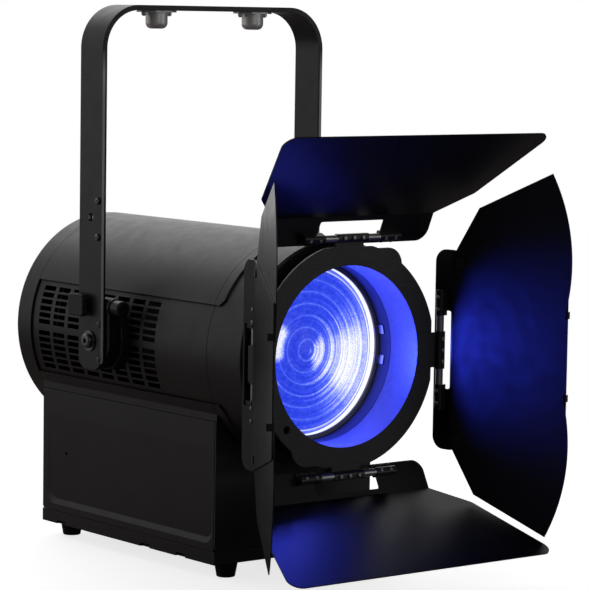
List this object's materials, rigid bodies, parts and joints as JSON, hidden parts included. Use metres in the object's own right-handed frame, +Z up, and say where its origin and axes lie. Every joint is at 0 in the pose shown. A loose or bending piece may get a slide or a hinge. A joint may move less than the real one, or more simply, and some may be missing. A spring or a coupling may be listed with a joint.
{
  "type": "fresnel spotlight",
  "caption": "LED fresnel spotlight: finned round barrel on a box base, U-shaped tilting yoke, stepped lens and a turning ring of hinged barn doors with swivelling ears.",
  "frame": {"origin": "centre of the bottom of the whole object's bounding box, on the plane of the feet", "axes": "+Z up, the light shines along -Y, +X is the right of a person who looks at the lens"},
  "size_m": [0.429, 0.6212, 0.643],
  "materials": {
    "housing_black": "fine textured satin powder coat",
    "yoke_black": "satin powder coat",
    "door_black": "matt black paint",
    "ring_black": "textured black powder coat",
    "tube_black": "matt black paint",
    "fitting_black": "satin black",
    "black_steel": "black oxide",
    "bright_steel": "nickel plated",
    "dull_steel": "dull zinc plate",
    "black_aluminium": "black anodised",
    "sheet_aluminium": "mill finish",
    "reflector": "polished",
    "filter_foam": "open-cell foam",
    "rubber": "moulded",
    "black_plastic": "moulded, fine grain",
    "display_plastic": "clear dark window",
    "led_board": "white board with a lit emitter",
    "lens_glass": "stippled fresnel glass"
  },
  "bodies": {
    "housing": {"base_pan": "housing_black", "base_side_panels": "housing_black", "base_front_panel": "housing_black", "base_rear_panel": "housing_black", "rubber_feet": "rubber", "lower_trims": "housing_black", "side_vents": "housing_black", "top_cover": "housing_black", "rear_bezel": "housing_black", "rear_grille": "housing_black", "dust_filter": "filter_foam", "front_bezel": "housing_black", "lens_tube": "tube_black", "lens_ring": "tube_black", "fresnel_lens": "lens_glass", "lens_clips": "dull_steel", "accessory_brackets": "fitting_black", "accessory_plate": "fitting_black", "bulkheads": "black_aluminium", "guide_rods": "bright_steel", "zoom_motor": "fitting_black", "fan_frame": "black_plastic", "power_supply": "sheet_aluminium", "display_window": "display_plastic", "rear_connectors": "black_plastic", "tilt_hubs": "fitting_black", "case_screws": "black_steel"},
    "yoke": {"yoke": "yoke_black", "clamp_blocks": "fitting_black", "clamp_bolts": "black_plastic", "yoke_fasteners": "black_steel", "quick_lock_receptacles": "bright_steel"},
    "lock_left": {"lock_knob_left": "black_plastic"},
    "lock_right": {"lock_knob_right": "black_plastic"},
    "door_ring": {"door_ring": "ring_black", "hinge_blocks": "fitting_black", "hinge_rods": "black_steel", "hinge_sleeves": "dull_steel"},
    "zoom_engine": {"zoom_carriage": "black_aluminium", "heat_sink": "black_aluminium", "led_board": "led_board", "light_mixer": "reflector"},
    "lead_screw": {"lead_screw": "bright_steel"},
    "fan_rotor": {"fan_rotor": "black_plastic"},
    "door_right": {"door_right": "door_black", "door_right_brackets": "fitting_black"},
    "door_top": {"door_top": "door_black", "door_top_brackets": "fitting_black"},
    "door_left": {"door_left": "door_black", "door_left_brackets": "fitting_black"},
    "door_bottom": {"door_bottom": "door_black", "door_bottom_brackets": "fitting_black"},
    "ear_left_upper": {"ear_left_upper": "door_black"},
    "ear_left_lower": {"ear_left_lower": "door_black"},
    "ear_right_upper": {"ear_right_upper": "door_black"},
    "ear_right_lower": {"ear_right_lower": "door_black"},
    "button_menu": {"button_menu": "black_plastic"},
    "button_down": {"button_down": "black_plastic"},
    "button_up": {"button_up": "black_plastic"},
    "button_enter": {"button_enter": "black_plastic"}
  },
  "joints": [
    {"name": "yoke_tilt", "type": "hinge", "parent": "housing", "child": "yoke", "pos_m": [0, 0.11157, 0.256], "axis": [1, 0, 0], "range_deg": [-120, 40]},
    {"name": "lock_left_turn", "type": "hinge", "parent": "yoke", "child": "lock_left", "pos_m": [-0.17, 0.12607, 0.297], "axis": [-1, 0, 0], "range_deg": [0, 180]},
    {"name": "lock_right_turn", "type": "hinge", "parent": "yoke", "child": "lock_right", "pos_m": [0.17, 0.12607, 0.297], "axis": [1, 0, 0], "range_deg": [0, 180]},
    {"name": "ring_turn", "type": "hinge", "parent": "housing", "child": "door_ring", "pos_m": [0, -0.16483, 0.256], "axis": [0, -1, 0], "continuous": true},
    {"name": "door_right_hinge", "type": "hinge", "parent": "door_ring", "child": "door_right", "pos_m": [0.133, -0.16783, 0.256], "axis": [0, 0, 1], "range_deg": [-6, 60]},
    {"name": "door_top_hinge", "type": "hinge", "parent": "door_ring", "child": "door_top", "pos_m": [0, -0.16783, 0.389], "axis": [-1, 0, 0], "range_deg": [-35, 22]},
    {"name": "door_left_hinge", "type": "hinge", "parent": "door_ring", "child": "door_left", "pos_m": [-0.133, -0.16783, 0.256], "axis": [0, 0, -1], "range_deg": [-6, 60]},
    {"name": "door_bottom_hinge", "type": "hinge", "parent": "door_ring", "child": "door_bottom", "pos_m": [0, -0.16783, 0.123], "axis": [1, 0, 0], "range_deg": [-35, 24]},
    {"name": "ear_left_upper_pivot", "type": "hinge", "parent": "door_left", "child": "ear_left_upper", "pos_m": [-0.14652, -0.18672, 0.155], "axis": [-0.8746, 0.4848, 0], "range_deg": [-6, 14]},
    {"name": "ear_left_lower_pivot", "type": "hinge", "parent": "door_left", "child": "ear_left_lower", "pos_m": [-0.14652, -0.18672, 0.357], "axis": [0.8746, -0.4848, 0], "range_deg": [-6, 14]},
    {"name": "ear_right_upper_pivot", "type": "hinge", "parent": "door_right", "child": "ear_right_upper", "pos_m": [0.14652, -0.18672, 0.357], "axis": [0.8746, 0.4848, 0], "range_deg": [-6, 14]},
    {"name": "ear_right_lower_pivot", "type": "hinge", "parent": "door_right", "child": "ear_right_lower", "pos_m": [0.14652, -0.18672, 0.155], "axis": [-0.8746, -0.4848, 0], "range_deg": [-6, 14]},
    {"name": "zoom_travel", "type": "slide", "parent": "housing", "child": "zoom_engine", "axis": [0, -1, 0], "range_m": [-0.06, 0.085]},
    {"name": "lead_screw_turn", "type": "hinge", "parent": "housing", "child": "lead_screw", "pos_m": [0.065, 0.11157, 0.321], "axis": [0, 1, 0], "range_deg": [-1200, 1700]},
    {"name": "fan_spin", "type": "hinge", "parent": "housing", "child": "fan_rotor", "pos_m": [0, 0.24157, 0.241], "axis": [0, 1, 0], "continuous": true},
    {"name": "button_menu_press", "type": "slide", "parent": "housing", "child": "button_menu", "axis": [0, -1, 0], "range_m": [0, 0.0012], "stiffness_N_per_m": 400, "springref_m": -0.0006},
    {"name": "button_down_press", "type": "slide", "parent": "housing", "child": "button_down", "axis": [0, -1, 0], "range_m": [0, 0.0012], "stiffness_N_per_m": 400, "springref_m": -0.0006},
    {"name": "button_up_press", "type": "slide", "parent": "housing", "child": "button_up", "axis": [0, -1, 0], "range_m": [0, 0.0012], "stiffness_N_per_m": 400, "springref_m": -0.0006},
    {"name": "button_enter_press", "type": "slide", "parent": "housing", "child": "button_enter", "axis": [0, -1, 0], "range_m": [0, 0.0012], "stiffness_N_per_m": 400, "springref_m": -0.0006}
  ],
  "couplings": [
    {"joint": "lead_screw_turn", "follows": "zoom_travel", "rad_per_m": 314.16}
  ]
}
